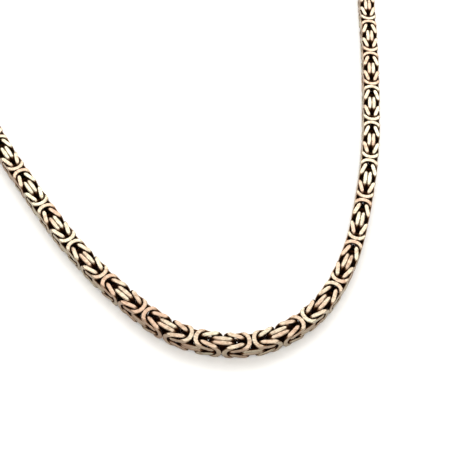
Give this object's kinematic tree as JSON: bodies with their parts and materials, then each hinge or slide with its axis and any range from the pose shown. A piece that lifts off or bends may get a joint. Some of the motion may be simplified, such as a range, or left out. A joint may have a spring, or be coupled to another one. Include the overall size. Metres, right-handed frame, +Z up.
{
  "type": "byzantine chain necklace",
  "caption": "Square woven byzantine neck chain of paired oval wire links, closed in a loop by a plain bar clasp and laid flat.",
  "frame": {"origin": "middle of the loop's bounding box on the plane that the chain lies on", "axes": "+Z up from that plane, +Y from the front bend of the loop towards the clasp at the back, +X to the wearer's left of the front bend as the picture shows it, on the right"},
  "size_m": [0.1192, 0.1965, 0.004],
  "materials": {
    "chain_silver": "worn sterling silver, filed flat and brushed, blackened in the recesses",
    "clasp_silver": "worn satin sterling silver"
  },
  "bodies": {
    "root": {"chain": "chain_silver", "clasp": "clasp_silver"}
  },
  "joints": []
}
